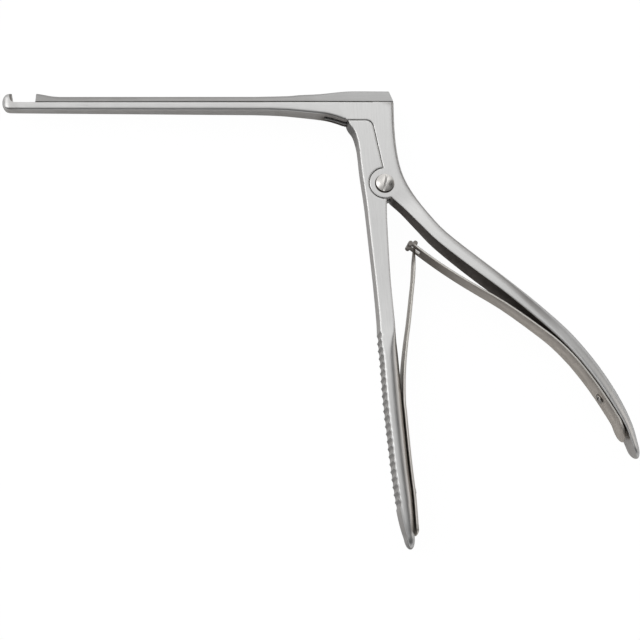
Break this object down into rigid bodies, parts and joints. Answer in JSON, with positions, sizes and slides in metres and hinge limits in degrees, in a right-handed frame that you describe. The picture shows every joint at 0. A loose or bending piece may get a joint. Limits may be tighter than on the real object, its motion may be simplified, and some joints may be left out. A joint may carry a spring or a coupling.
{
  "type": "antrum punch forceps",
  "caption": "Surgical antrum punch forceps with a hooked shaft, a sliding upper shaft, a pivoting scalloped handle and linked leaf springs.",
  "frame": {"origin": "on the pivot axis, in the plane of the body's far flat side", "axes": "+X back along the shafts towards the handles, +Y from the handles up to the shafts, +Z from the far flat side to the side with the pivot screw's head"},
  "size_m": [0.189, 0.1391, 0.0109],
  "materials": {
    "satin_steel": "satin stainless steel",
    "spring_steel": "satin spring steel, a little darker",
    "polished_steel": "polished stainless steel"
  },
  "bodies": {
    "frame": {"frame": "satin_steel", "pivot_screw": "polished_steel", "rear_spring_screw": "polished_steel"},
    "slide": {"slide": "satin_steel"},
    "handle": {"front_handle": "satin_steel", "front_spring_screw": "polished_steel"},
    "rear_spring": {"rear_spring": "spring_steel"},
    "front_spring": {"front_spring": "spring_steel"}
  },
  "joints": [
    {"name": "handle_squeeze", "type": "hinge", "parent": "frame", "child": "handle", "pos_m": [0, 0, 0], "axis": [0, 0, 1], "range_deg": [0, 14.98], "stiffness_Nm_per_rad": 3, "springref_deg": -8.59},
    {"name": "slide_travel", "type": "slide", "parent": "frame", "child": "slide", "axis": [-1, 0, 0], "range_m": [0, 0.00652]},
    {"name": "rear_spring_bend", "type": "hinge", "parent": "frame", "child": "rear_spring", "pos_m": [0.0527, -0.0502, 0], "axis": [0, 0, 1], "range_deg": [-3, 0], "deforming": ["rear_spring"]},
    {"name": "front_spring_bend", "type": "hinge", "parent": "handle", "child": "front_spring", "pos_m": [0.0039, -0.0604, 0], "axis": [0, 0, 1], "range_deg": [0, 5], "deforming": ["front_spring"]}
  ],
  "couplings": [
    {"joint": "slide_travel", "follows": "handle_squeeze", "m_per_rad": 0.02493},
    {"joint": "rear_spring_bend", "follows": "handle_squeeze", "ratio": -0.19},
    {"joint": "front_spring_bend", "follows": "handle_squeeze", "ratio": 0.305}
  ]
}
